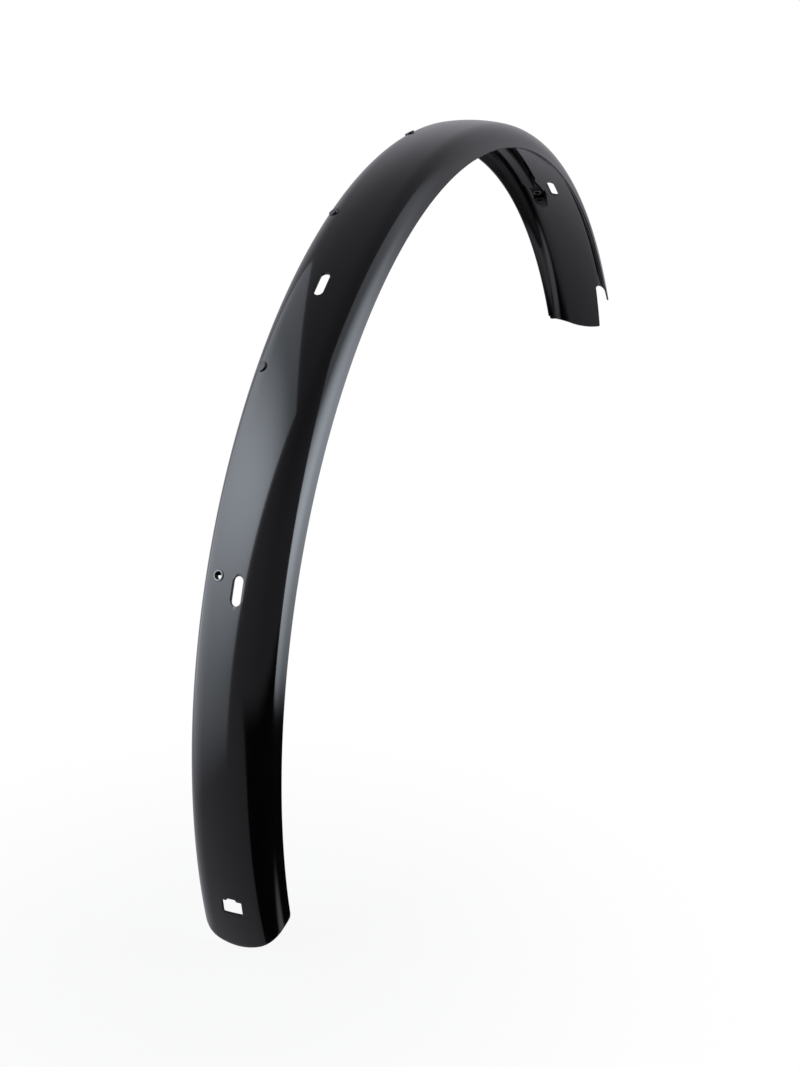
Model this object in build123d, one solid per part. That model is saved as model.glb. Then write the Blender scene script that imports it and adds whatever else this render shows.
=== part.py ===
from build123d import *
import os
from math import acos, asin, cos, degrees, hypot, radians, sin, tan

# A bicycle rear mudguard: a moulded arch of shallow channel section, a cable duct along its inside with an
# end clip at each end, three solid rivets along the duct and a hollow rivet through each clip.
# Millimetres. +X is forward, +Y left and +Z up, as on the bicycle. The origin is the centre of the bridge
# slot on the outside of the crown.

# The arch from the side: its radius is from the wheel's axle, angles are from straight above the axle
crown_radius = 364.0
rear_angle = -105.1
front_angle = 64.8
rear_end_length = 19.6  # of the oval ends, along the arch
rear_end_width = 57.4
front_end_length = 22.8
front_end_width = 55.2

# The section across the arch, outside sizes
guard_width = 58.0
guard_depth = 18.4
crown_curve = 90.0
shoulder_curve = 16.2
skirt_flare = 13.7  # lean of each skirt, degrees
wall = 1.5
edge_bulge = 0.45  # of the rounded edges

# Bolt slots on the centreline
slot_width = 6.0
stay_slot_length = 17.5
bridge_slot_length = 20.5
upper_slot_angle = -37.6
lower_slot_angle = -68.8
bridge_slot_angle = 36.6

# Light hole near the rear tip, with a tapered tab on its upper side
light_hole_angle = -100.2
light_hole_width = 13.0
light_hole_height = 9.5
light_hole_corner = 0.8
light_tab_base = 7.0
light_tab_tip = 4.6
light_tab_rise = 1.6

# Cut-out at the front right corner, and the tongue of skirt beside it
notch_angle = 56.8
notch_inner = 13.6  # from the centreline, at its closed end
notch_open_inner = 11.8
notch_outer = 26.0
notch_corner = 6.0
tongue_angle = 58.1
tongue_run = 23.0
tongue_lift = 6.0

# Cable duct inside the arch, left of the centreline
duct_side = 16.3
duct_width = 6.8
duct_spread = 3.6  # of the sloped left side, beyond the duct's width
duct_height = 4.6
duct_wall = 0.8
duct_floor = 1.4
duct_corner = 1.6
duct_end_curve = 3.7
duct_setback = 14.2  # from a hollow rivet to the duct's end

# Solid rivets, counted forward from the rear hollow rivet
rivet_side = 18.8
rivet_pitch = 20.35
rivet_count = 3
rivet_head = 6.8
rivet_head_height = 1.0
rivet_head_round = 0.4
rivet_shank = 3.0
rivet_set = 4.0
rivet_set_height = 0.9

# Hollow rivets
hollow_side = 13.7
hollow_front_angle = 37.1
hollow_rear_angle = -67.65
hollow_bore = 4.5
hollow_tube = 5.3
hollow_flange = 6.9
hollow_flange_height = 0.6
hollow_flare = 6.6
hollow_flare_height = 0.5
hollow_round = 0.25

# End clips, lengths along the arch from the hollow rivet
clip_floor = 1.1
clip_pad = 4.3          # half width around the rivet
clip_neck = 3.9         # half width where the socket meets the floor
clip_belly = 4.6
clip_belly_reach = 10.0
clip_tail = 3.2
clip_tail_reach = 24.5
clip_socket_wall = 1.1
clip_socket_height = 2.8
clip_socket_length = 16.0
clip_groove = 3.2
clip_block_start = 5.0
clip_block_height = 3.4
clip_slope_start = 13.5
clip_tip_height = 1.2
clip_pocket = 2.5
clip_pocket_reach = 7.4
clip_pocket_depth = 2.2

# Clearances
seat_gap = 0.1   # curved faces that lie on each other
shank_gap = 0.1  # around a rivet in its hole
duct_gap = 0.2   # around the duct in its clip

# The section's tangent arcs: how far the surface has turned where the crown meets the shoulder, and the
# shoulder meets the skirt
skirt_turn = radians(90 - skirt_flare)
curve_step = crown_curve - shoulder_curve
crown_centre = crown_radius - crown_curve
skirt_reach = guard_width / 2 * sin(skirt_turn) + (crown_curve - guard_depth) * cos(skirt_turn)
crown_turn = skirt_turn - acos((skirt_reach - shoulder_curve) / curve_step)
shoulder_side = curve_step * sin(crown_turn)
shoulder_height = crown_centre + curve_step * cos(crown_turn)
edge_radius = crown_radius - guard_depth
skirt_top = shoulder_height + shoulder_curve * cos(skirt_turn)
skirt_length = (skirt_top - edge_radius) / sin(skirt_turn)

# Cutting tools reach this far past the shell
overrun = 2 * guard_depth


def on_shoulder(turn, inset):
    reach = shoulder_curve - inset
    return Vector(shoulder_side + reach * sin(turn), shoulder_height + reach * cos(turn))


def left(point):
    return Vector(-point.X, point.Y)


def skirt_end(inset, length):
    return on_shoulder(skirt_turn, inset) + Vector(cos(skirt_turn), -sin(skirt_turn)) * length


def profile(inset, length):
    # the section's line at a depth below the outside, from the left skirt's end to the right one's
    top = on_shoulder(crown_turn, inset)
    middle = on_shoulder((crown_turn + skirt_turn) / 2, inset)
    low = on_shoulder(skirt_turn, inset)
    end = skirt_end(inset, length)
    reach = 4 / 3 * tan(crown_turn / 2) * (crown_curve - inset)
    handle = top + Vector(-cos(crown_turn), sin(crown_turn)) * reach
    return [
        Line(left(end), left(low)),
        ThreePointArc(left(low), left(middle), left(top)),
        Bezier(left(top), left(handle), handle, top),
        ThreePointArc(top, middle, low),
        Line(low, end),
    ]


def shell_section():
    length = skirt_length - edge_bulge
    outer = skirt_end(0, length)
    inner = skirt_end(wall, length)
    tip = skirt_end(wall / 2, skirt_length)
    rounds = [ThreePointArc(outer, tip, inner), ThreePointArc(left(outer), left(tip), left(inner))]
    return make_face(profile(0, length) + profile(wall, length) + rounds)


def filled_section(inset):
    # the section filled in below a line at a depth under the outside
    end = skirt_end(inset, skirt_length)
    return make_face(profile(inset, skirt_length) + [Line(end, left(end))])


def inner_space():
    return filled_section(wall + seat_gap)


def arch(section, start, end):
    return Rot(0, start, 0) * revolve(Plane.YZ * section, Axis.Y, end - start)


def at(angle, piece):
    # turns a piece made at the top of the arch to its place round the axle
    return Rot(0, angle, 0) * piece


def arc_degrees(length):
    return degrees(length / crown_radius)


def lean_at(side):
    if side < crown_curve * sin(crown_turn):
        return asin(side / crown_curve)
    return asin((side - shoulder_side) / shoulder_curve)


def outside_at(side):
    # a place on the outside, left of the centreline, with +Z square to the surface
    lean = lean_at(side)
    if lean < crown_turn:
        point = Vector(crown_curve * sin(lean), crown_centre + crown_curve * cos(lean))
    else:
        point = on_shoulder(lean, 0)
    return Pos(0, point.X, point.Y) * Rot(-degrees(lean), 0, 0)


def through_crown(sketch):
    return Pos(0, 0, edge_radius) * extrude(sketch, overrun)


def end_trim(angle, direction, length, width):
    # everything past an oval end
    pivot = angle - direction * arc_degrees(length)
    oval = Ellipse(length, width / 2)
    beyond = Pos(direction * length, 0) * Rectangle(2 * length, 2 * guard_width)
    trim = Pos(0, 0, crown_radius - overrun) * extrude(beyond - oval, 2 * overrun)
    return at(pivot, trim)


def bolt_slot(angle, length):
    return at(angle, through_crown(SlotOverall(length, slot_width)))


def light_hole():
    half = light_hole_height / 2
    window = RectangleRounded(light_hole_height, light_hole_width, light_hole_corner)
    tab = Polyline(
        (0, -light_tab_base / 2),
        (half, -light_tab_base / 2),
        (half + light_tab_rise, -light_tab_tip / 2),
        (half + light_tab_rise, light_tab_tip / 2),
        (half, light_tab_base / 2),
        (0, light_tab_base / 2),
        close=True,
    )
    return at(light_hole_angle, through_crown(window + make_face(tab)))


def corner_notch():
    # its left side leans a little, so that it widens to the front
    length = radians(front_angle - notch_angle) * crown_radius
    widening = notch_inner - notch_open_inner
    outline = Polyline(
        (0, -notch_inner),
        (2 * length, -notch_inner + 2 * widening),
        (2 * length, -notch_outer),
        (0, -notch_outer),
        close=True,
    )
    outline = make_face(outline)
    outline = fillet(outline.vertices().group_by(Axis.X)[0], notch_corner)
    return at(notch_angle, Pos(0, 0, crown_radius - overrun) * extrude(outline, 2 * overrun))


def tongue_trim():
    # the right skirt past a slanted line that rises from its edge to the tongue's end
    top = edge_radius + tongue_lift
    reach = 2 * radians(front_angle - tongue_angle) * crown_radius
    low = top - overrun
    slant_run = tongue_run * overrun / tongue_lift
    outline = Polyline(
        (-slant_run, low),
        (0, top),
        (0, crown_radius + wall),
        (reach, crown_radius + wall),
        (reach, low),
        close=True,
    )
    side = Plane.XZ * make_face(outline)
    beyond = guard_width - notch_outer + wall
    return at(tongue_angle, Pos(0, -notch_outer + wall, 0) * extrude(side, beyond))


def rivet_hole(angle, side, diameter):
    bore = Cylinder(diameter / 2 + shank_gap, overrun)
    return at(angle, outside_at(side) * bore)


def across_duct(sketch):
    # puts a sketch on the shell's inside where the duct runs, with +Y square out of the shell
    lean = lean_at(duct_side)
    base = on_shoulder(lean, wall)
    return Pos(base.X, base.Y) * Rot(0, 0, -degrees(lean)) * sketch


def duct_outline(gap):
    # an upright right side and a sloped left one, sunk into the shell before the trim to the shell's inside
    half = duct_width / 2
    outline = Polyline(
        (-half, wall),
        (-half, -duct_height),
        (half, -duct_height),
        (half + duct_spread, 0),
        (half + duct_spread, wall),
        close=True,
    )
    outline = offset(make_face(outline), gap, kind=Kind.INTERSECTION) if gap else make_face(outline)
    return across_duct(fillet(outline.vertices().group_by(Axis.Y)[0], duct_corner))


def duct_tunnel(gap):
    side_wall = duct_wall + gap
    floor = duct_floor + gap
    slope_step = side_wall * hypot(duct_spread, duct_height) / duct_height
    half = duct_width / 2
    roof = duct_height - side_wall
    outline = Polyline(
        (-half + side_wall, -floor),
        (-half + side_wall, -roof),
        (half + duct_spread * side_wall / duct_height - slope_step, -roof),
        (half + duct_spread * (1 - floor / duct_height) - slope_step, -floor),
        close=True,
    )
    outline = make_face(outline)
    return across_duct(fillet(outline.vertices().group_by(Axis.Y)[0], duct_corner - duct_wall))


def duct_base():
    # the duct's lower half, where its rivet holes are
    height = wall + duct_height / 2
    width = duct_width + 2 * duct_spread
    return across_duct(Pos(0, wall - height / 2) * Rectangle(width, height))


def duct_end_trim(angle, direction, gap):
    # everything past the duct's rounded end
    pivot = angle - direction * arc_degrees(duct_end_curve)
    beyond = Pos(direction * overrun / 2, 0) * Rectangle(overrun, overrun) - Circle(duct_end_curve + gap)
    trim = Pos(0, 0, -overrun / 2) * extrude(beyond, overrun)
    return at(pivot, outside_at(duct_side) * trim)


duct_front = hollow_front_angle - arc_degrees(duct_setback)
duct_rear = hollow_rear_angle + arc_degrees(duct_setback)
rivet_angles = [hollow_rear_angle + rivet_pitch * (count + 1) for count in range(rivet_count)]


def duct_room():
    # the duct with the gap that its clips leave around it
    extra = arc_degrees(duct_gap)
    room = arch(duct_outline(duct_gap), duct_rear - extra, duct_front + extra)
    room -= duct_end_trim(duct_front, 1, duct_gap)
    return room - duct_end_trim(duct_rear, -1, duct_gap)


def make_shell():
    spare = arc_degrees(wall)
    shell = arch(shell_section(), rear_angle - spare, front_angle + spare)
    shell -= end_trim(rear_angle, -1, rear_end_length, rear_end_width)
    shell -= end_trim(front_angle, 1, front_end_length, front_end_width)
    shell -= bolt_slot(upper_slot_angle, stay_slot_length)
    shell -= bolt_slot(lower_slot_angle, stay_slot_length)
    shell -= bolt_slot(bridge_slot_angle, bridge_slot_length)
    shell -= light_hole()
    shell -= corner_notch()
    shell -= tongue_trim()
    for angle in rivet_angles:
        shell -= rivet_hole(angle, rivet_side, rivet_shank)
    for angle in (hollow_front_angle, hollow_rear_angle):
        shell -= rivet_hole(angle, hollow_side, hollow_tube)
    return shell


def make_duct():
    section = (duct_outline(0) & inner_space()) - duct_tunnel(0)
    duct = arch(section, duct_rear, duct_front)
    duct -= duct_end_trim(duct_front, 1, 0)
    duct -= duct_end_trim(duct_rear, -1, 0)
    span = arc_degrees(2 * rivet_shank)
    for angle in rivet_angles:
        duct -= rivet_hole(angle, rivet_side, rivet_shank) & arch(duct_base(), angle - span, angle + span)
    return duct


def disc(diameter, low, high):
    return Pos(0, 0, low) * extrude(Circle(diameter / 2), high - low)


def seated(head, angle, side, diameter):
    # puts a rivet's head on the outside, its underside following the shell
    span = arc_degrees(diameter)
    outside = arch(filled_section(-seat_gap), angle - span, angle + span)
    return at(angle, outside_at(side) * head) - outside


def make_solid_rivet(angle):
    # closed inside the duct, on its floor
    depth = wall + duct_floor + rivet_set_height
    place = outside_at(rivet_side)
    head = disc(rivet_head, -wall, rivet_head_height)
    head = fillet(head.edges().group_by(Axis.Z)[-1], rivet_head_round)
    head = seated(head, angle, rivet_side, rivet_head)
    shank = at(angle, place * disc(rivet_shank, -depth, rivet_head_height / 2))
    span = arc_degrees(rivet_head)
    tail = at(angle, place * disc(rivet_set, -depth, 0))
    tail &= arch(duct_tunnel(seat_gap), angle - span, angle + span)
    return head + shank + tail


def make_hollow_rivet(angle):
    depth = wall + clip_floor
    flange = disc(hollow_flange, -wall, hollow_flange_height)
    flange = fillet(flange.edges().group_by(Axis.Z)[-1], hollow_round)
    flange = seated(flange, angle, hollow_side, hollow_flange)
    tube = disc(hollow_tube, -depth, hollow_flange_height / 2)
    flare = disc(hollow_flare, -depth - hollow_flare_height, -depth)
    flare = fillet(flare.edges().group_by(Axis.Z)[0], hollow_round)
    bore = disc(hollow_bore, -2 * depth, 2 * depth)
    place = outside_at(hollow_side)
    return flange + at(angle, place * (tube + flare)) - at(angle, place * bore)


def raised(sketch, height):
    # a block from the outside of the shell inwards
    return Pos(0, 0, -height) * extrude(sketch, height)


def clip_round(reach, side, radius):
    return (Pos(reach, side) * Circle(radius)).edges()


def make_end_clip(angle, direction):
    # made along the arch from the hollow rivet, with the tail at the free end
    shift = duct_side - hollow_side
    collar = duct_width / 2 + duct_gap + clip_socket_wall
    socket_end = duct_setback - duct_gap - clip_socket_wall
    socket_start = duct_setback + clip_socket_length
    collar_back = clip_round(-direction * (socket_start - collar), shift, collar)
    collar_front = clip_round(-direction * (socket_end + collar), shift, collar)
    neck = clip_round(-direction * (socket_end + clip_neck), shift, clip_neck)
    pad = clip_round(0, 0, clip_pad)
    belly = clip_round(direction * clip_belly_reach, 0, clip_belly)
    tail = clip_round(direction * (clip_tail_reach - clip_tail), 0, clip_tail)

    floor_height = wall + clip_floor
    socket_height = wall + clip_socket_height
    block_height = wall + clip_block_height
    plate = raised(make_hull(neck + pad), floor_height)
    plate += raised(make_hull(pad + belly + tail), floor_height)
    socket = raised(make_hull(collar_back + collar_front), socket_height)
    groove = Pos(-direction * duct_setback, shift, -floor_height - clip_groove)
    socket -= groove * Box(duct_setback, clip_groove, 2 * clip_groove)
    open_side = Pos(-direction * (duct_setback + duct_end_curve + overrun / 2), shift + overrun / 2, 0)
    socket -= open_side * Box(overrun, overrun, overrun)

    block = raised(make_hull(pad + belly + tail), block_height)
    block -= Pos(direction * (clip_block_start - overrun / 2), 0, 0) * Box(overrun, overrun, overrun)
    slope = Polyline(
        (direction * clip_slope_start, -block_height),
        (direction * clip_tail_reach, -wall - clip_tip_height),
        (direction * (clip_tail_reach + wall), -wall - clip_tip_height),
        (direction * (clip_tail_reach + wall), -2 * block_height),
        (direction * clip_slope_start, -2 * block_height),
        close=True,
    )
    block -= extrude(Plane.XZ * make_face(slope), overrun, both=True)
    pocket = Pos(direction * clip_pocket_reach, 0) * Circle(clip_pocket)
    pocket_half = Rectangle(clip_pocket, 2 * clip_pocket)
    pocket &= Pos(direction * (clip_pocket_reach + clip_pocket / 2), 0) * pocket_half
    block -= Pos(0, 0, -2 * block_height) * extrude(pocket, block_height + clip_pocket_depth)

    clip = plate + socket + block - Cylinder(hollow_tube / 2 + shank_gap, overrun)
    clip = at(angle, outside_at(hollow_side) * clip)
    span = arc_degrees(2 * socket_start)
    clip &= arch(inner_space(), angle - span, angle + span)
    return clip - duct_room()


pieces = {
    "mudguard_shell": make_shell(),
    "cable_duct": make_duct(),
    "front_end_clip": make_end_clip(hollow_front_angle, 1),
    "rear_end_clip": make_end_clip(hollow_rear_angle, -1),
    "hollow_rivet_front": make_hollow_rivet(hollow_front_angle),
    "hollow_rivet_rear": make_hollow_rivet(hollow_rear_angle),
}
for number, rivet_angle in enumerate(rivet_angles, 1):
    pieces[f"solid_rivet_{number}"] = make_solid_rivet(rivet_angle)

bridge = radians(bridge_slot_angle)
to_origin = Pos(-crown_radius * sin(bridge), 0, -crown_radius * cos(bridge))
os.makedirs("parts", exist_ok=True)
for name, piece in pieces.items():
    export_step(to_origin * piece, f"parts/{name}.step")
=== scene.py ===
from math import acos, asin, atan2, cos, degrees, hypot, pi, radians, sin, tan

import bmesh
import bpy
from mathutils import Matrix, Vector


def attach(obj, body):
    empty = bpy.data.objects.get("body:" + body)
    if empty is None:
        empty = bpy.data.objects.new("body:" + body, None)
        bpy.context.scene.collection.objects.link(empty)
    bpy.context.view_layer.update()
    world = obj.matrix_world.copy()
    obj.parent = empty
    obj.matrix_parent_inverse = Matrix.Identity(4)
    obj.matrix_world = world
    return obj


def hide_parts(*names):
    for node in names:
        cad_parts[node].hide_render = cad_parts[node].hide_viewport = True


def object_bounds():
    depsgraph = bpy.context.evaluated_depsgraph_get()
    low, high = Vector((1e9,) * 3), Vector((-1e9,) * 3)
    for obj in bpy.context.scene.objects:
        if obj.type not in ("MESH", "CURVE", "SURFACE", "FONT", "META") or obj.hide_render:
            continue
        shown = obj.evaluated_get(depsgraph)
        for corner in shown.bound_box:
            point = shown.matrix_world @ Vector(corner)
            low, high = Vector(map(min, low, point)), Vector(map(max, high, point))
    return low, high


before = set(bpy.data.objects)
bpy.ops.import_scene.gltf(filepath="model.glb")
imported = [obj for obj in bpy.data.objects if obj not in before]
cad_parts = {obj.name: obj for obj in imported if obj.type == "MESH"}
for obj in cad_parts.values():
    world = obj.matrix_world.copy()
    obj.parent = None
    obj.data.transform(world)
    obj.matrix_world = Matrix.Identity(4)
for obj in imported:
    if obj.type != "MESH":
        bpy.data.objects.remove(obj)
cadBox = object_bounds()
scene = bpy.context.scene
print("frame loaded:", len(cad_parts), "nodes")


# Shared helpers, in metres; angles along the guard are degrees from straight above the axle

near = {                 # distances that count as none
    "axis": 1e-9,
    "point": 1e-7,
    "weld": 2e-7,
    "seam": 1e-6,
    "boreWall": 1e-5,
}


def vertOf(geom):
    return next(g for g in geom if isinstance(g, bmesh.types.BMVert))


def addArc(bm, vert, centre, angle, steps):
    made = bmesh.ops.spin(bm, geom=[vert], cent=centre, axis=(1, 0, 0), angle=angle, steps=steps)
    return vertOf(made["geom_last"])


def addRun(bm, vert, place, pieces=1):
    start = vert.co.copy()
    for count in range(pieces):
        vert = bmesh.ops.extrude_vert_indiv(bm, verts=[vert])["verts"][0]
        vert.co = start.lerp(place, (count + 1) / pieces)
    return vert


def outline(bm, points):
    verts = [bm.verts.new((x, y, 0)) for x, y in points]
    return bm.faces.new(verts)


def roundCorners(bm, verts, radius, steps=6):
    bmesh.ops.bevel(bm, geom=verts, offset=radius, offset_type="OFFSET", affect="VERTICES",
                    segments=steps, profile=0.5, material=-1)


def raiseFaces(bm, low, high):  # flat faces to a block between two heights
    flat = bm.faces[:]
    bmesh.ops.translate(bm, verts=bm.verts, vec=(0, 0, low))
    made = bmesh.ops.extrude_face_region(bm, geom=flat, use_keep_orig=True)
    top = [g for g in made["geom"] if isinstance(g, bmesh.types.BMVert)]
    bmesh.ops.translate(bm, verts=top, vec=(0, 0, high - low))
    bmesh.ops.recalc_face_normals(bm, faces=bm.faces)


def capEnds(bm):
    rim = [e for e in bm.edges if len(e.link_faces) == 1]
    bmesh.ops.edgeloop_fill(bm, edges=rim)
    bmesh.ops.recalc_face_normals(bm, faces=bm.faces)


def toObject(bm, name):
    mesh = bpy.data.meshes.new(name)
    bm.to_mesh(mesh)
    bm.free()
    made = bpy.data.objects.new(name, mesh)
    scene.collection.objects.link(made)
    return made


def applied(obj):  # the mesh with its modifiers made real
    shape = obj.evaluated_get(bpy.context.evaluated_depsgraph_get())
    mesh = bpy.data.meshes.new_from_object(shape)
    obj.modifiers.clear()
    obj.data = mesh
    mesh.name = obj.name
    return obj


def combine(obj, operation, others):
    for other in others:
        change = obj.modifiers.new(operation, "BOOLEAN")
        change.operation = operation
        change.solver = "EXACT"
        change.object = other
    applied(obj)
    for other in others:
        bpy.data.objects.remove(other)
    bm = bmesh.new()
    bm.from_mesh(obj.data)
    bmesh.ops.remove_doubles(bm, verts=bm.verts, dist=near["weld"])
    bmesh.ops.holes_fill(bm, edges=[e for e in bm.edges if len(e.link_faces) == 1])
    bm.to_mesh(obj.data)
    bm.free()


def cutAway(obj, *cutters):
    combine(obj, "DIFFERENCE", cutters)


def joinOn(obj, *others):
    combine(obj, "UNION", others)


def softenEdges(obj, width, limit=50):
    soften = obj.modifiers.new("edges", "BEVEL")
    soften.width = width
    soften.segments = 2
    soften.limit_method = "ANGLE"
    soften.angle_limit = radians(limit)
    soften.use_clamp_overlap = False
    applied(obj)


def shade(obj, sharpAngle):
    mesh = obj.data
    mesh.shade_smooth()
    mesh.set_sharp_from_angle(angle=radians(sharpAngle))


def finishPiece(obj, node, material):
    obj.data.materials.clear()
    obj.data.materials.append(material)
    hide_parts(node)
    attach(obj, "root")
    print("piece", obj.name, len(obj.data.polygons), "faces")


# The guard's arch and section, as in the construction

guard = {
    "crownRadius": 0.364,
    "rearAngle": -105.1,
    "frontAngle": 64.8,
    "width": 0.058,
    "depth": 0.0184,
    "crownCurve": 0.090,
    "shoulderCurve": 0.0162,
    "skirtFlare": 13.7,
    "wall": 0.0015,
    "edgeBulge": 0.00045,
    "rearEnd": (0.0196, 0.0574),     # length and width of the oval
    "frontEnd": (0.0228, 0.0552),
    "slotWidth": 0.006,
    "slots": ((-37.6, 0.0175), (-68.8, 0.0175), (36.6, 0.0205)),
    "ringStep": 0.5,
    "crownSteps": 10,
    "shoulderSteps": 14,
    "skirtSteps": 3,
    "edgeSteps": 8,
    "endSteps": 160,
    "slotSteps": 48,
    "endSpare": 1.0,         # degrees past each end, until the ovals are cut
    "edgeBevel": 0.0002,
    "sharpAngle": 25,
}
bridgeTurn = radians(guard["slots"][2][0])
axle = Vector((-guard["crownRadius"] * sin(bridgeTurn), 0, -guard["crownRadius"] * cos(bridgeTurn)))

skirtTurn = radians(90 - guard["skirtFlare"])
curveStep = guard["crownCurve"] - guard["shoulderCurve"]
crownCentre = Vector((0, 0, guard["crownRadius"] - guard["crownCurve"]))
skirtReach = guard["width"] / 2 * sin(skirtTurn) + (guard["crownCurve"] - guard["depth"]) * cos(skirtTurn)
crownTurn = skirtTurn - acos((skirtReach - guard["shoulderCurve"]) / curveStep)
shoulderCentre = crownCentre + curveStep * Vector((0, sin(crownTurn), cos(crownTurn)))
edgeRadius = guard["crownRadius"] - guard["depth"]
skirtLength = (shoulderCentre.z + guard["shoulderCurve"] * cos(skirtTurn) - edgeRadius) / sin(skirtTurn)


def onShoulder(turn, inset):
    return shoulderCentre + (guard["shoulderCurve"] - inset) * Vector((0, sin(turn), cos(turn)))


def skirtEnd(inset, length):
    return onShoulder(skirtTurn, inset) + length * Vector((0, cos(skirtTurn), -sin(skirtTurn)))


def arcDegrees(length):
    return degrees(length / guard["crownRadius"])


def leanAt(side):
    if side < guard["crownCurve"] * sin(crownTurn):
        return asin(side / guard["crownCurve"])
    return asin((side - shoulderCentre.y) / guard["shoulderCurve"])


def outsideAt(angle, side=0.0):  # a place on the outside, +Z square to the surface and +X along the arch
    lean = leanAt(side)
    if lean < crownTurn:
        point = crownCentre + guard["crownCurve"] * Vector((0, sin(lean), cos(lean)))
    else:
        point = onShoulder(lean, 0)
    turn = Matrix.Translation(axle) @ Matrix.Rotation(radians(angle), 4, "Y")
    return turn @ Matrix.Translation(point) @ Matrix.Rotation(-lean, 4, "X")


def spinArch(bm, start, end, step):
    bmesh.ops.rotate(bm, verts=bm.verts, cent=(0, 0, 0), matrix=Matrix.Rotation(radians(start), 3, "Y"))
    loop = bm.verts[:] + bm.edges[:]
    bmesh.ops.spin(bm, geom=loop, cent=(0, 0, 0), axis=(0, 1, 0), angle=radians(end - start),
                   steps=round((end - start) / step))
    bmesh.ops.translate(bm, verts=bm.verts, vec=axle)


def shellArch():
    bm = bmesh.new()
    wall = guard["wall"]
    shoulderTurn = skirtTurn - crownTurn
    length = skirtLength - guard["edgeBulge"]
    vert = bm.verts.new((0, 0, guard["crownRadius"]))
    vert = addArc(bm, vert, crownCentre, -crownTurn, guard["crownSteps"])
    vert = addArc(bm, vert, shoulderCentre, -shoulderTurn, guard["shoulderSteps"])
    vert = addRun(bm, vert, skirtEnd(0, length), guard["skirtSteps"])
    halfWall = wall / 2
    bulgeRadius = (halfWall ** 2 + guard["edgeBulge"] ** 2) / (2 * guard["edgeBulge"])
    bulgeCentre = skirtEnd(halfWall, skirtLength - bulgeRadius)
    vert = addArc(bm, vert, bulgeCentre, -2 * asin(halfWall / bulgeRadius), guard["edgeSteps"])
    vert = addRun(bm, vert, onShoulder(skirtTurn, wall), guard["skirtSteps"])
    vert = addArc(bm, vert, shoulderCentre, shoulderTurn, guard["shoulderSteps"])
    addArc(bm, vert, crownCentre, crownTurn, guard["crownSteps"])
    bmesh.ops.mirror(bm, geom=bm.verts[:] + bm.edges[:], axis="Y", merge_dist=near["seam"])
    bmesh.ops.remove_doubles(bm, verts=bm.verts, dist=near["seam"])
    spare = guard["endSpare"]
    spinArch(bm, guard["rearAngle"] - spare, guard["frontAngle"] + spare, guard["ringStep"])
    capEnds(bm)
    return toObject(bm, "mudguardShell")


def placed(bm, name, place):
    bmesh.ops.transform(bm, verts=bm.verts, matrix=place)
    return toObject(bm, name)


overrun = 2 * guard["depth"]


def endCutter(angle, direction, size, side=0.0):  # everything past an oval end
    length, width = size
    bm = bmesh.new()
    bmesh.ops.create_circle(bm, segments=guard["endSteps"], radius=1)
    bmesh.ops.scale(bm, verts=bm.verts, vec=(length, width / 2, 1))
    bmesh.ops.bisect_plane(bm, geom=bm.verts[:] + bm.edges[:], dist=near["point"], plane_co=(0, 0, 0),
                           plane_no=(direction, 0, 0), clear_inner=True)
    ends = [v for v in bm.verts if len(v.link_edges) == 1]
    low, high = sorted(ends, key=lambda v: v.co.y)
    wide, far = guard["width"], direction * 3 * length
    corner = addRun(bm, low, Vector((0, -wide, 0)))
    corner = addRun(bm, corner, Vector((far, -wide, 0)))
    corner = addRun(bm, corner, Vector((far, wide, 0)))
    corner = addRun(bm, corner, Vector((0, wide, 0)))
    bm.edges.new((corner, high))
    bmesh.ops.contextual_create(bm, geom=bm.edges[:])
    raiseFaces(bm, -overrun, overrun)
    return placed(bm, "endCutter", outsideAt(angle - direction * arcDegrees(length), side))


def slotCutter(angle, length):
    bm = bmesh.new()
    steps = guard["slotSteps"]
    bmesh.ops.create_circle(bm, cap_ends=True, segments=steps, radius=guard["slotWidth"] / 2)
    bmesh.ops.rotate(bm, verts=bm.verts, matrix=Matrix.Rotation(pi / steps, 3, "Z"))
    for end in (-1, 1):
        half = [v for v in bm.verts if v.co.x * end > 0]
        bmesh.ops.translate(bm, verts=half, vec=(end * (length - guard["slotWidth"]) / 2, 0, 0))
    raiseFaces(bm, -overrun / 2, overrun / 2)
    return placed(bm, "slotCutter", outsideAt(angle))


lightHole = {
    "angle": -100.2,
    "width": 0.013,
    "height": 0.0095,
    "corner": 0.0008,
    "tabBase": 0.007,
    "tabTip": 0.0046,
    "tabRise": 0.0016,
}


def lightHoleCutter():
    half, side = lightHole["height"] / 2, lightHole["width"] / 2
    base, tip = lightHole["tabBase"] / 2, lightHole["tabTip"] / 2
    top = half + lightHole["tabRise"]
    bm = bmesh.new()
    outline(bm, ((-half, -side), (half, -side), (half, -base), (top, -tip), (top, tip), (half, base),
                 (half, side), (-half, side)))
    bm.verts.ensure_lookup_table()
    roundCorners(bm, [bm.verts[0], bm.verts[1], bm.verts[6], bm.verts[7]], lightHole["corner"])
    raiseFaces(bm, -overrun / 2, overrun / 2)
    return placed(bm, "lightHoleCutter", outsideAt(lightHole["angle"]))


notch = {
    "angle": 56.8,
    "inner": 0.0136,
    "openInner": 0.0118,
    "outer": 0.026,
    "corner": 0.006,
    "cornerSteps": 14,
    "tongueAngle": 58.1,
    "tongueRun": 0.023,
    "tongueLift": 0.006,
}


def notchCutter():
    length = radians(guard["frontAngle"] - notch["angle"]) * guard["crownRadius"]
    widening = 2 * (notch["inner"] - notch["openInner"])
    bm = bmesh.new()
    outline(bm, ((0, -notch["outer"]), (2 * length, -notch["outer"]),
                 (2 * length, -notch["inner"] + widening), (0, -notch["inner"])))
    bm.verts.ensure_lookup_table()
    roundCorners(bm, [bm.verts[0], bm.verts[3]], notch["corner"], notch["cornerSteps"])
    raiseFaces(bm, -overrun, overrun)
    return placed(bm, "notchCutter", outsideAt(notch["angle"]))


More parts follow.
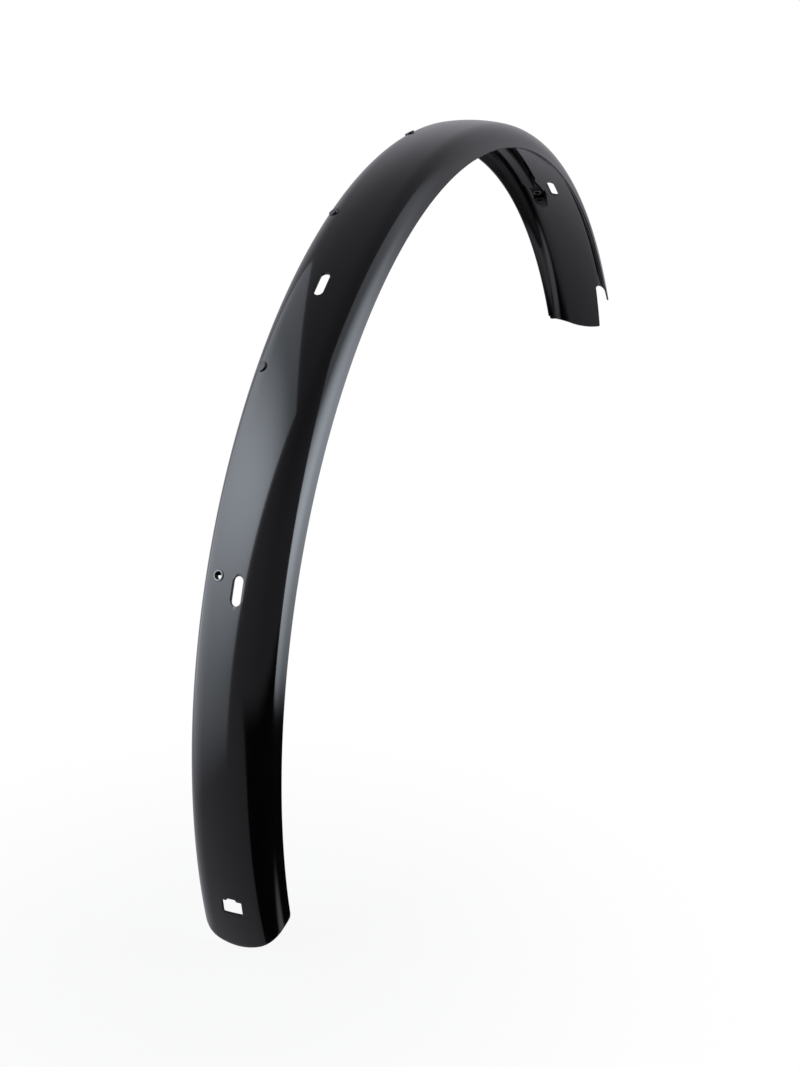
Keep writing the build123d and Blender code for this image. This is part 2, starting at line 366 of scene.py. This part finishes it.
def tongueCutter():  # the right skirt past a slanted line
    top = edgeRadius + notch["tongueLift"] - guard["crownRadius"]
    reach = 2 * radians(guard["frontAngle"] - notch["tongueAngle"]) * guard["crownRadius"]
    low = top - overrun
    slantRun = notch["tongueRun"] * overrun / notch["tongueLift"]
    bm = bmesh.new()
    outline(bm, ((-slantRun, low), (reach, low), (reach, guard["wall"]), (0, guard["wall"]), (0, top)))
    raiseFaces(bm, notch["outer"] - guard["wall"], guard["width"])
    upright = Matrix.Rotation(pi / 2, 4, "X")  # flat outline to the side of the guard
    return placed(bm, "tongueCutter", outsideAt(notch["tongueAngle"]) @ upright)


rivets = {
    "side": 0.0188,
    "pitch": 20.35,
    "count": 3,
    "head": 0.0068,
    "headHeight": 0.001,
    "headRound": 0.0004,
    "headSunk": 0.0005,      # into the shell, so that the head's rim meets its curve
    "shank": 0.003,
    "shankGap": 0.0001,
    "set": 0.004,
    "setHeight": 0.0009,
    "hollowSide": 0.0137,
    "hollowFront": 37.1,
    "hollowRear": -67.65,
    "bore": 0.0045,
    "tube": 0.0053,
    "flange": 0.0069,
    "flangeHeight": 0.0006,
    "flare": 0.0066,
    "flareHeight": 0.0005,
    "rollRound": 0.0004,     # of the rolled rims
    "steps": 56,
    "boreSteps": 40,
    "boreRun": 1.5,          # of a shank's hole, in floors of the duct
    "sharpAngle": 35,
}
rivetAngles = [rivets["hollowRear"] + rivets["pitch"] * (count + 1) for count in range(rivets["count"])]


def boreCutter(angle, side, diameter, depth):  # a rivet's hole, from outside to a depth
    bm = bmesh.new()
    bmesh.ops.create_circle(bm, cap_ends=True, segments=rivets["boreSteps"],
                            radius=diameter / 2 + rivets["shankGap"])
    raiseFaces(bm, -depth, overrun / 2)
    return placed(bm, "boreCutter", outsideAt(angle, side))


def hollowBore(angle):
    return boreCutter(angle, rivets["hollowSide"], rivets["tube"], overrun / 2)


def solidBore(angle):
    depth = guard["wall"] + rivets["boreRun"] * duct["floor"]
    return boreCutter(angle, rivets["side"], rivets["shank"], depth)


def makeShell():
    shell = shellArch()
    cutters = [endCutter(guard["rearAngle"], -1, guard["rearEnd"]),
               endCutter(guard["frontAngle"], 1, guard["frontEnd"])]
    cutters += [slotCutter(angle, length) for angle, length in guard["slots"]]
    cutters += [lightHoleCutter(), notchCutter(), tongueCutter()]
    cutters += [hollowBore(rivets["hollowFront"]), hollowBore(rivets["hollowRear"])]
    cutters += [solidBore(angle) for angle in rivetAngles]
    cutAway(shell, *cutters)
    softenEdges(shell, guard["edgeBevel"])
    shade(shell, guard["sharpAngle"])
    return shell


# The duct along the inside, left of the centreline

duct = {
    "side": 0.0163,
    "width": 0.0068,
    "spread": 0.0036,        # of the sloped left side
    "height": 0.0046,
    "wall": 0.0008,
    "floor": 0.0014,
    "corner": 0.0016,
    "endCurve": 0.0037,
    "setback": 0.0142,       # from a hollow rivet to the duct's end
    "seatGap": 0.0001,
    "ringStep": 0.5,
    "endSpare": 0.25,        # degrees that the cutters run past the duct
    "sharpAngle": 35,
}
ductFront = rivets["hollowFront"] - arcDegrees(duct["setback"])
ductRear = rivets["hollowRear"] + arcDegrees(duct["setback"])
ductLean = leanAt(duct["side"])
ductSlant = hypot(duct["spread"], duct["height"]) / duct["height"]


def inDuct(across, rise):  # a point of the duct's section, on the shell's inside where rise is 0
    seat = onShoulder(ductLean, guard["wall"])
    sideways = Vector((0, cos(ductLean), -sin(ductLean)))
    outward = Vector((0, sin(ductLean), cos(ductLean)))
    return seat + across * sideways + rise * outward


def ductSlope(rise, grow):
    return duct["width"] / 2 + duct["spread"] * (1 + rise / duct["height"]) + grow * ductSlant


def ductBar(name, grow, top, start, end):  # the duct's outline, grown or shrunk, swept along the arch
    right = -duct["width"] / 2 - grow
    low = -duct["height"] - grow
    corner = duct["corner"] + grow
    bm = bmesh.new()
    verts = [bm.verts.new(inDuct(right, top)), bm.verts.new(inDuct(right, low)),
             bm.verts.new(inDuct(ductSlope(low, grow), low)), bm.verts.new(inDuct(ductSlope(top, grow), top))]
    bm.faces.new(verts)
    roundCorners(bm, [verts[1]], corner)
    slopeTurn = atan2(duct["height"], duct["spread"])
    slopeFoot = inDuct(ductSlope(low, grow), low)
    roundCorners(bm, [v for v in bm.verts if (v.co - slopeFoot).length < near["seam"]],
                 corner * tan(slopeTurn / 2))
    bmesh.ops.delete(bm, geom=bm.faces[:], context="FACES_ONLY")
    spinArch(bm, start, end, duct["ringStep"])
    capEnds(bm)
    return toObject(bm, name)


def shellSpace(start, end):  # the shell and everything outside it, left of the centreline
    inset = guard["wall"] + duct["seatGap"]
    far = guard["crownRadius"] + guard["depth"]
    bm = bmesh.new()
    first = bm.verts.new((0, 0, guard["crownRadius"] - inset))
    vert = addArc(bm, first, crownCentre, -crownTurn, guard["crownSteps"])
    vert = addArc(bm, vert, shoulderCentre, crownTurn - skirtTurn, 2 * guard["shoulderSteps"])
    vert = addRun(bm, vert, Vector((0, guard["width"], vert.co.z)))
    vert = addRun(bm, vert, Vector((0, guard["width"], far)))
    vert = addRun(bm, vert, Vector((0, 0, far)))
    bm.edges.new((vert, first))
    spinArch(bm, start, end, duct["ringStep"])
    capEnds(bm)
    return toObject(bm, "shellSpace")


def ductEndCutter(angle, direction, grow):
    reach = duct["endCurve"] + grow
    return endCutter(angle + direction * arcDegrees(grow), direction, (reach, 2 * reach), duct["side"])


def makeDuct():
    spare = duct["endSpare"]
    made = ductBar("cableDuct", 0.0, guard["wall"], ductRear, ductFront)
    tunnel = ductBar("ductTunnel", -duct["wall"], -duct["floor"], ductRear - spare, ductFront + spare)
    cutAway(made, shellSpace(ductRear - spare, ductFront + spare))
    cutAway(made, tunnel)
    cutAway(made, ductEndCutter(ductFront, 1, 0.0), ductEndCutter(ductRear, -1, 0.0))
    cutAway(made, *[solidBore(angle) for angle in rivetAngles])
    shade(made, duct["sharpAngle"])
    return made


# End clips, made along the arch from the hollow rivet

clip = {
    "floor": 0.0011,
    "pad": 0.0043,
    "neck": 0.0039,
    "belly": 0.0046,
    "bellyReach": 0.010,
    "tail": 0.0032,
    "tailReach": 0.0245,
    "socketWall": 0.0011,
    "socketHeight": 0.0028,
    "socketLength": 0.016,
    "groove": 0.0032,
    "blockStart": 0.005,
    "blockHeight": 0.0034,
    "slopeStart": 0.0135,
    "tipHeight": 0.0012,
    "pocket": 0.0025,
    "pocketReach": 0.0074,
    "pocketDepth": 0.0022,
    "ductGap": 0.0002,
    "edgeBevel": 0.00015,
    "roundSteps": 64,
    "flatAngle": 0.5,        # faces that turn less are merged
    "sharpAngle": 35,
}


def hullBlock(low, *circles):  # the hull of some upright cylinders, from the outside inwards
    bm = bmesh.new()
    for reach, side, radius in circles:
        for level in (low, 0.0):
            bmesh.ops.create_circle(bm, segments=clip["roundSteps"], radius=radius,
                                    matrix=Matrix.Translation((reach, side, level)))
    bmesh.ops.delete(bm, geom=bm.edges[:], context="EDGES_FACES")
    bmesh.ops.convex_hull(bm, input=bm.verts)
    bmesh.ops.delete(bm, geom=[v for v in bm.verts if not v.link_faces], context="VERTS")
    bmesh.ops.dissolve_limit(bm, angle_limit=radians(clip["flatAngle"]), verts=bm.verts, edges=bm.edges)
    bmesh.ops.recalc_face_normals(bm, faces=bm.faces)
    return bm


def trimBlock(bm, place, outward):
    bmesh.ops.bisect_plane(bm, geom=bm.verts[:] + bm.edges[:] + bm.faces[:], dist=near["point"],
                           plane_co=place, plane_no=outward, clear_outer=True)
    capEnds(bm)


def boxCutter(name, low, high):
    bm = bmesh.new()
    bmesh.ops.create_cube(bm, size=1.0)
    bmesh.ops.translate(bm, verts=bm.verts, vec=(0.5, 0.5, 0.5))
    bmesh.ops.scale(bm, verts=bm.verts, vec=Vector(high) - Vector(low))
    bmesh.ops.translate(bm, verts=bm.verts, vec=low)
    return toObject(bm, name)


def pocketCutter():
    bm = bmesh.new()
    bmesh.ops.create_circle(bm, segments=clip["roundSteps"], radius=clip["pocket"])
    bmesh.ops.bisect_plane(bm, geom=bm.verts[:] + bm.edges[:], dist=near["point"], plane_no=(-1, 0, 0),
                           clear_outer=True)
    bmesh.ops.contextual_create(bm, geom=bm.edges[:])
    height = guard["wall"] + clip["blockHeight"]
    raiseFaces(bm, -2 * height, -height + clip["pocketDepth"])
    bmesh.ops.translate(bm, verts=bm.verts, vec=(clip["pocketReach"], 0, 0))
    return toObject(bm, "pocketCutter")


def makeClip(name, angle, direction):
    shift = duct["side"] - rivets["hollowSide"]
    collar = duct["width"] / 2 + clip["ductGap"] + clip["socketWall"]
    socketEnd = duct["setback"] - clip["ductGap"] - clip["socketWall"]
    socketStart = duct["setback"] + clip["socketLength"]
    floorLow = -guard["wall"] - clip["floor"]
    blockLow = -guard["wall"] - clip["blockHeight"]
    pad = (0.0, 0.0, clip["pad"])
    belly = (clip["bellyReach"], 0.0, clip["belly"])
    tail = (clip["tailReach"] - clip["tail"], 0.0, clip["tail"])
    neck = (-socketEnd - clip["neck"], shift, clip["neck"])
    made = toObject(hullBlock(floorLow, neck, pad), name)
    tailPlate = toObject(hullBlock(floorLow, pad, belly, tail), "tailPlate")

    socketLow = -guard["wall"] - clip["socketHeight"]
    socketEnds = (-socketStart + collar, -socketEnd - collar)
    socket = toObject(hullBlock(socketLow, *[(reach, shift, collar) for reach in socketEnds]), "socket")
    half = clip["groove"] / 2
    groove = boxCutter("groove", (-1.5 * duct["setback"], shift - half, floorLow - 2 * clip["groove"]),
                       (-0.5 * duct["setback"], shift + half, floorLow))
    openEnd = -duct["setback"] - duct["endCurve"]
    openSide = boxCutter("openSide", (openEnd - overrun, shift, -overrun),
                         (openEnd, shift + overrun, overrun))
    cutAway(socket, groove, openSide)

    block = hullBlock(blockLow, pad, belly, tail)
    trimBlock(block, (clip["blockStart"], 0, 0), (-1, 0, 0))
    slopeRun = clip["tailReach"] - clip["slopeStart"]
    slopeRise = clip["blockHeight"] - clip["tipHeight"]
    trimBlock(block, (clip["slopeStart"], 0, blockLow), (slopeRise, 0, -slopeRun))
    block = toObject(block, "block")
    cutAway(block, pocketCutter())

    joinOn(made, tailPlate, socket, block)
    place = outsideAt(angle, rivets["hollowSide"]) @ Matrix.Diagonal((direction, 1, 1, 1))
    made.data.transform(place)
    if direction < 0:
        made.data.flip_normals()
    span = arcDegrees(2 * socketStart)
    end = ductFront if direction > 0 else ductRear
    start, stop = sorted((angle - direction * span, end + direction * arcDegrees(clip["ductGap"])))
    room = ductBar("ductRoom", clip["ductGap"], guard["wall"], start, stop)
    cutAway(room, ductEndCutter(end, direction, clip["ductGap"]))
    cutAway(made, shellSpace(angle - span, angle + span))
    cutAway(made, room, hollowBore(angle))
    softenEdges(made, clip["edgeBevel"])
    shade(made, clip["sharpAngle"])
    return made


# Rivets, turned about their own axis

def turned(name, points, rounds, place):  # points are radius and height, rounds are point number and radius
    bm = bmesh.new()
    verts = [bm.verts.new((radius, 0, height)) for radius, height in points]
    bm.faces.new(verts)
    for count, radius in rounds:
        roundCorners(bm, [verts[count]], radius)
    bmesh.ops.delete(bm, geom=bm.faces[:], context="FACES_ONLY")
    onAxis = [e for e in bm.edges if all(v.co.x < near["axis"] for v in e.verts)]
    bmesh.ops.delete(bm, geom=onAxis, context="EDGES")
    bmesh.ops.spin(bm, geom=bm.verts[:] + bm.edges[:], cent=(0, 0, 0), axis=(0, 0, 1), angle=2 * pi,
                   steps=rivets["steps"], use_merge=True)
    bmesh.ops.remove_doubles(bm, verts=bm.verts, dist=near["point"])
    bmesh.ops.recalc_face_normals(bm, faces=bm.faces)
    made = placed(bm, name, place)
    shade(made, rivets["sharpAngle"])
    return made


def makeSolidRivet(name, angle):
    head, shank, tail = (rivets[key] / 2 for key in ("head", "shank", "set"))
    under = -rivets["headSunk"]
    ledge = -guard["wall"] - duct["floor"] - duct["seatGap"]
    low = -guard["wall"] - duct["floor"] - rivets["setHeight"]
    points = ((0, low), (tail, low), (tail, ledge), (shank, ledge), (shank, under), (head, under),
              (head, rivets["headHeight"]), (0, rivets["headHeight"]))
    return turned(name, points, ((6, rivets["headRound"]),), outsideAt(angle, rivets["side"]))


def makeHollowRivet(name, angle):
    bore, tube, flange, flare = (rivets[key] / 2 for key in ("bore", "tube", "flange", "flare"))
    under = -rivets["headSunk"]
    ledge = -guard["wall"] - clip["floor"]
    low = ledge - rivets["flareHeight"]
    points = ((bore, low), (flare, low), (flare, ledge), (tube, ledge), (tube, under), (flange, under),
              (flange, rivets["flangeHeight"]), (bore, rivets["flangeHeight"]))
    roll = rivets["rollRound"]
    rounds = ((0, roll), (1, roll), (6, roll), (7, roll))
    place = outsideAt(angle, rivets["hollowSide"])
    made = turned(name, points, rounds, place)
    # marks the bore, where the finish paints shade
    boreShadeMarks = made.data.attributes.new("bore", "FLOAT", "POINT")
    toAxis = place.inverted()
    for vert, mark in zip(made.data.vertices, boreShadeMarks.data):
        mark.value = float((toAxis @ vert.co).xy.length < bore + near["boreWall"])
    return made


# Finishes

def feed(tree, socket, value):  # a link, or a value on the socket itself
    if isinstance(value, Wire):
        tree.links.new(value.socket, socket)
    else:
        socket.default_value = value


class Wire:  # a socket that maths can be written on
    def __init__(self, tree, socket):
        self.tree = tree
        self.socket = socket

    def maths(self, operation, first, second):
        node = self.tree.nodes.new("ShaderNodeMath")
        node.operation = operation
        for socket, value in zip(node.inputs, (first, second)):
            feed(self.tree, socket, value)
        return Wire(self.tree, node.outputs[0])

    def __add__(self, other):
        return self.maths("ADD", self, other)

    def __mul__(self, other):
        return self.maths("MULTIPLY", self, other)

    def __sub__(self, other):
        return self.maths("SUBTRACT", self, other)

    def __rsub__(self, other):
        return self.maths("SUBTRACT", other, self)

    def root(self):
        return self.maths("SQRT", self, 0.0)

    __radd__ = __add__
    __rmul__ = __mul__


class Nodes:
    def __init__(self, tree):
        self.tree = tree
        tree.nodes.clear()

    def add(self, kind, settings=None, **sockets):
        node = self.tree.nodes.new("ShaderNode" + kind)
        for key, value in (settings or {}).items():
            if key == "stops":
                ramp = node.color_ramp.elements
                while len(ramp) < len(value):
                    ramp.new(0.5)
                for stop, (place, level) in zip(ramp, value):
                    stop.position = place
                    stop.color = (level, level, level, 1)
            else:
                setattr(node, key, value)
        for key, value in sockets.items():
            feed(self.tree, node.inputs[key.replace("_", " ")], value)
        return node

    def out(self, node, name=0):
        return Wire(self.tree, node.outputs[name])

    def smooth(self, value, reach, levels):  # eases from one level to another over a reach
        return self.out(self.add("MapRange", {"interpolation_type": "SMOOTHSTEP"}, Value=value,
                                 From_Min=reach[0], From_Max=reach[1], To_Min=levels[0], To_Max=levels[1]))

    def blend(self, factor, first, second):  # one colour to another
        node = self.add("Mix", {"data_type": "RGBA"}, Factor=factor)
        for number, colour in ((6, first), (7, second)):  # colour sockets A and B
            feed(self.tree, node.inputs[number], colour if isinstance(colour, Wire) else (*colour, 1))
        return self.out(node, 2)

    def away(self, place, centre):  # the distance from a centre
        node = self.add("VectorMath", {"operation": "DISTANCE"})
        for socket, value in zip(node.inputs, (place, centre)):
            feed(self.tree, socket, value)
        return self.out(node, "Value")


moulding = {             # the same for every finish
    "cloudDetail": 3.0,
    "grainDetail": 2.0,
    "bend": 1.55,            # index of refraction
    "shine": 0.5,
}


def mouldedBlack(name, look):
    material = bpy.data.materials.new(name)
    material.use_nodes = True
    nodes = Nodes(material.node_tree)
    place = nodes.out(nodes.add("TexCoord"), "Object")
    cloud, grain = (nodes.out(nodes.add("TexNoise", Vector=place, Scale=look[part + "Scale"],
                                        Detail=moulding[part + "Detail"])) for part in ("cloud", "grain"))
    colour, coat = nodes.blend(cloud, look["dark"], look["light"]), look["coat"]
    if "bore" in look:  # painted shade: the bore gets a near-black colour and no coat, as if no light reached it
        boreShadeMask = nodes.out(nodes.add("Attribute", {"attribute_name": "bore"}), "Fac")
        colour, coat = nodes.blend(boreShadeMask, colour, look["bore"]), coat * (1 - boreShadeMask)
    relief = nodes.add("Bump", Strength=look["relief"], Distance=look["reliefDepth"], Height=grain)
    shader = nodes.add("BsdfPrincipled", Base_Color=colour,
                       Roughness=look["roughness"] + look["roughVary"] * (cloud - 0.5),
                       Metallic=look.get("metal", 0.0), Normal=nodes.out(relief), IOR=moulding["bend"],
                       Specular_IOR_Level=look.get("shine", moulding["shine"]),
                       Coat_Weight=coat, Coat_Roughness=look["coatRough"])
    nodes.add("OutputMaterial", Surface=nodes.out(shader))
    return material


glossBlack = mouldedBlack("glossBlackPlastic", {
    "dark": (0.0012, 0.0012, 0.0014),
    "light": (0.0028, 0.0027, 0.0030),
    "cloudScale": 14.0,
    "grainScale": 900.0,
    "relief": 0.02,
    "reliefDepth": 0.0002,
    "roughness": 0.11,
    "roughVary": 0.04,
    "coat": 1.0,
    "coatRough": 0.05,
})
satinBlack = mouldedBlack("satinBlackPlastic", {
    "dark": (0.002, 0.002, 0.0022),
    "light": (0.004, 0.004, 0.0043),
    "cloudScale": 60.0,
    "grainScale": 1500.0,
    "relief": 0.06,
    "reliefDepth": 0.0002,
    "roughness": 0.12,
    "roughVary": 0.05,
    "coat": 0.0,
    "coatRough": 0.1,
})
clipBlack = mouldedBlack("clipBlackPlastic", {
    "dark": (0.0012, 0.0012, 0.0013),
    "light": (0.0026, 0.0026, 0.0028),
    "shine": 0.13,
    "cloudScale": 80.0,
    "grainScale": 1500.0,
    "relief": 0.06,
    "reliefDepth": 0.0002,
    "roughness": 0.2,
    "roughVary": 0.06,
    "coat": 0.0,
    "coatRough": 0.1,
})
rivetBlack = mouldedBlack("blackCoatedRivet", {
    "dark": (0.016, 0.016, 0.017),
    "light": (0.030, 0.030, 0.032),
    "cloudScale": 300.0,
    "grainScale": 2500.0,
    "relief": 0.08,
    "reliefDepth": 0.0001,
    "roughness": 0.24,
    "roughVary": 0.1,
    "coat": 0.6,
    "coatRough": 0.1,
})
blackNickel = mouldedBlack("blackNickel", {
    "dark": (0.11, 0.108, 0.106),
    "light": (0.24, 0.236, 0.232),
    # painted shade: near-black colour for the inside of the bore
    "bore": (0.004, 0.004, 0.004),
    "metal": 1.0,
    "cloudScale": 300.0,
    "grainScale": 2500.0,
    "relief": 0.04,
    "reliefDepth": 0.0001,
    "roughness": 0.2,
    "roughVary": 0.08,
    "coat": 1.0,
    "coatRough": 0.08,
})
print("finishes made")

finishPiece(makeShell(), "mudguard_shell", glossBlack)
finishPiece(makeDuct(), "cable_duct", satinBlack)
finishPiece(makeClip("frontEndClip", rivets["hollowFront"], 1), "front_end_clip", clipBlack)
finishPiece(makeClip("rearEndClip", rivets["hollowRear"], -1), "rear_end_clip", clipBlack)
finishPiece(makeHollowRivet("hollowRivetFront", rivets["hollowFront"]),
            "hollow_rivet_front", blackNickel)
finishPiece(makeHollowRivet("hollowRivetRear", rivets["hollowRear"]),
            "hollow_rivet_rear", blackNickel)
for count, angle in enumerate(rivetAngles, 1):
    finishPiece(makeSolidRivet(f"solidRivet{count}", angle), f"solid_rivet_{count}", rivetBlack)


# Floor, lamps and camera

studio = {
    "floorRadius": 8.0,
    "floorCentre": -0.4,     # along the guard
    "floorGap": 0.0005,      # below the guard's lowest point
    "floorTone": 0.8,
    "shadowShare": 0.1,      # of the floor's white that can fall into shadow, close to the guard's tip
    "shadowReach": (0.03, 0.35),
    "lampTint": (0.83, 0.905, 1.0),
    "lookAt": (-0.53, 0.0, -0.12),
}
leftBox = {
    "bearing": -150,
    "distance": 0.9,
    "across": (-1.28, 1.0),
    "rise": (-0.62, 1.9),
    "hotSpot": (0.33, 0.68),
    "slant": 0.5,            # of the glow, to the right as it rises
    "glow": (1.4, 1.1),
    "peak": 2.75,
    "rim": 0.2,
    "leftEdge": (-1.3, 0.0, 0.02),      # place where rise is 0, lean and softness
    "rightEdge": (0.705, 0.05, 0.03),
    "foot": (-0.62, 0.14, 0.38),
}
rightBox = {
    "bearing": 15,
    "distance": 0.9,
    "across": (-0.4, 1.2),
    "rise": (-0.8, 1.1),
    "hotSpot": (-0.1, 0.04),
    "slant": 0.0,
    "glow": (1.03, 0.67),
    "peak": 3.5,
    "rim": 0.12,
    "leftEdge": (-0.27, -0.08, 0.02),
    "rightEdge": (1.05, 0.0, 0.5),
    "foot": (-0.43, -0.25, 0.1),
}


def makeFloor():
    bm = bmesh.new()
    bmesh.ops.create_circle(bm, cap_ends=True, segments=64, radius=studio["floorRadius"])
    bmesh.ops.translate(bm, verts=bm.verts, vec=(studio["floorCentre"], 0, cadBox[0].z - studio["floorGap"]))
    floor = toObject(bm, "floor")
    material = bpy.data.materials.new("paleFloor")
    material.use_nodes = True
    nodes = Nodes(material.node_tree)
    place = nodes.out(nodes.add("TexCoord"), "Object")
    fromTip = nodes.away(place, (cadBox[0].x, 0, cadBox[0].z))
    share = nodes.smooth(fromTip, studio["shadowReach"], (studio["shadowShare"], 0.0))
    seen = nodes.out(nodes.add("LightPath"), "Is Camera Ray")
    tone = studio["floorTone"]
    matte = nodes.add("BsdfDiffuse", Color=(tone, tone, tone, 1))
    white = nodes.add("Emission", Color=(1, 1, 1, 1), Strength=1.0)
    mixed = nodes.add("MixShader", Fac=seen * (1 - share))
    nodes.tree.links.new(matte.outputs[0], mixed.inputs[1])
    nodes.tree.links.new(white.outputs[0], mixed.inputs[2])
    nodes.add("OutputMaterial", Surface=nodes.out(mixed))
    floor.data.materials.append(material)
    floor.visible_glossy = False


room = {                 # what the gloss mirrors besides the lamps, by heading
    "tint": (0.95, 0.945, 1.03),
    "backTone": 0.35,
    "frontTone": 0.13,
    "toneReach": (-0.9, 0.9),
    "toneShares": (0.7, 0.6),            # of side and forward
    "sideShares": (0.1045, 0.9945),      # of forward and left
    "darkShare": 0.98,                   # of the dark lower right
    "darkTop": (-0.17, 0.0),
    "darkSide": (-0.08, -0.02),
    "darkLean": 0.4,
    "darkMiddle": 0.5,
    "darkFoot": (-0.97, -0.82),
    "topReach": (0.35, 0.9),
    "topShare": 0.55,
    "card": (0.19, -0.674, -0.714),      # a pale card under the front end
    "cardReach": (0.1, 0.25),
    "cardTone": 0.42,
}


def makeWorld():
    world = bpy.data.worlds.new("studio")
    scene.world = world
    world.use_nodes = True
    nodes = Nodes(world.node_tree)
    heading = nodes.out(nodes.add("TexCoord"), "Generated")
    parts = nodes.add("SeparateXYZ", Vector=heading)
    forward, leftward, upward = (nodes.out(parts, axis) for axis in "XYZ")
    side = room["sideShares"][0] * forward + room["sideShares"][1] * leftward
    toBack = room["toneShares"][0] * side + room["toneShares"][1] * forward
    level = nodes.smooth(toBack, room["toneReach"], (room["frontTone"], room["backTone"]))
    lowSide = side - room["darkLean"] * (upward + room["darkMiddle"])
    lowRight = nodes.smooth(upward, room["darkTop"], (1.0, 0.0))
    lowRight = lowRight * nodes.smooth(lowSide, room["darkSide"], (1.0, 0.0))
    lowRight = lowRight * nodes.smooth(upward, room["darkFoot"], (0.0, 1.0))
    level = level * (1 - room["darkShare"] * lowRight)
    level = level * nodes.smooth(upward, room["topReach"], (1.0, room["topShare"]))
    fromCard = nodes.away(heading, room["card"])
    level = level + nodes.smooth(fromCard, room["cardReach"], (room["cardTone"], 0.0))
    seen = nodes.out(nodes.add("LightPath"), "Is Camera Ray")
    tint = nodes.blend(seen, room["tint"], (1, 1, 1))
    walls = nodes.add("Background", Color=tint, Strength=seen + (1 - seen) * level)
    nodes.add("OutputWorld", Surface=nodes.out(walls))


def pastEdge(nodes, edge, run, cross, sense=1):  # light past a leaning edge, or before it where sense is -1
    place, lean, soft = edge
    reach = sorted((place, place + sense * soft))
    return nodes.smooth(run - lean * cross, reach, (0.0, 1.0) if sense > 0 else (1.0, 0.0))


def addSoftbox(name, box):  # an upright lamp that is brightest at its hot spot
    bearing = radians(box["bearing"])
    out = Vector((sin(bearing), -cos(bearing), 0))
    along = Vector((cos(bearing), sin(bearing), 0))
    left, right = box["across"]
    low, high = box["rise"]
    middle = Vector(studio["lookAt"]) + box["distance"] * out
    lamp = bpy.data.lights.new(name, "AREA")
    lamp.shape = "RECTANGLE"
    lamp.size, lamp.size_y = right - left, high - low
    lamp.color = studio["lampTint"]
    lamp.energy = pi * lamp.size * lamp.size_y * box["peak"]
    lamp.use_nodes = True
    nodes = Nodes(lamp.node_tree)
    made = bpy.data.objects.new(name, lamp)
    made.location = middle + (left + right) / 2 * along + Vector((0, 0, (low + high) / 2))
    made.rotation_mode = "QUATERNION"
    made.rotation_quaternion = (-out).to_track_quat("-Z", "Y")
    made.visible_camera = False
    scene.collection.objects.link(made)
    parts = nodes.add("SeparateXYZ", Vector=nodes.out(nodes.add("TexCoord"), "UV"))
    across = nodes.out(parts, "X") * lamp.size + left
    rise = nodes.out(parts, "Y") * lamp.size_y + low
    aside, above = across - box["hotSpot"][0], rise - box["hotSpot"][1]
    aside = (aside - box["slant"] * above) * (1 / box["glow"][0])
    above = above * (1 / box["glow"][1])
    glow = nodes.smooth((aside * aside + above * above).root(), (0.0, 1.0), (1.0, box["rim"]))
    glow = glow * pastEdge(nodes, box["leftEdge"], across, rise)
    glow = glow * pastEdge(nodes, box["rightEdge"], across, rise, -1)
    glow = glow * pastEdge(nodes, box["foot"], rise, across)
    shine = nodes.add("Emission", Strength=glow)
    nodes.add("OutputLight", Surface=nodes.out(shine))


photoView = {
    "sensor": 36.0,
    "focalPixels": 1726.196,
    "imageHeight": 1067,
    "clip": (0.05, 60),
    "location": (-1.36833, -0.44846, 0.18999),
    "ahead": (0.870004, 0.371956, -0.323638),
}


def makeCamera():
    lens = bpy.data.cameras.new("photoView")
    lens.sensor_width = photoView["sensor"]
    lens.lens = photoView["focalPixels"] / photoView["imageHeight"] * photoView["sensor"]
    lens.clip_start, lens.clip_end = photoView["clip"]
    camera = bpy.data.objects.new("photoView", lens)
    camera.location = photoView["location"]
    camera.rotation_mode = "QUATERNION"
    camera.rotation_quaternion = Vector(photoView["ahead"]).to_track_quat("-Z", "Y")
    scene.collection.objects.link(camera)
    scene.camera = camera


makeFloor()
makeWorld()
addSoftbox("leftSoftbox", leftBox)
addSoftbox("rightSoftbox", rightBox)
makeCamera()
scene.view_settings.view_transform = "Standard"
print("floor, lamps and camera set")
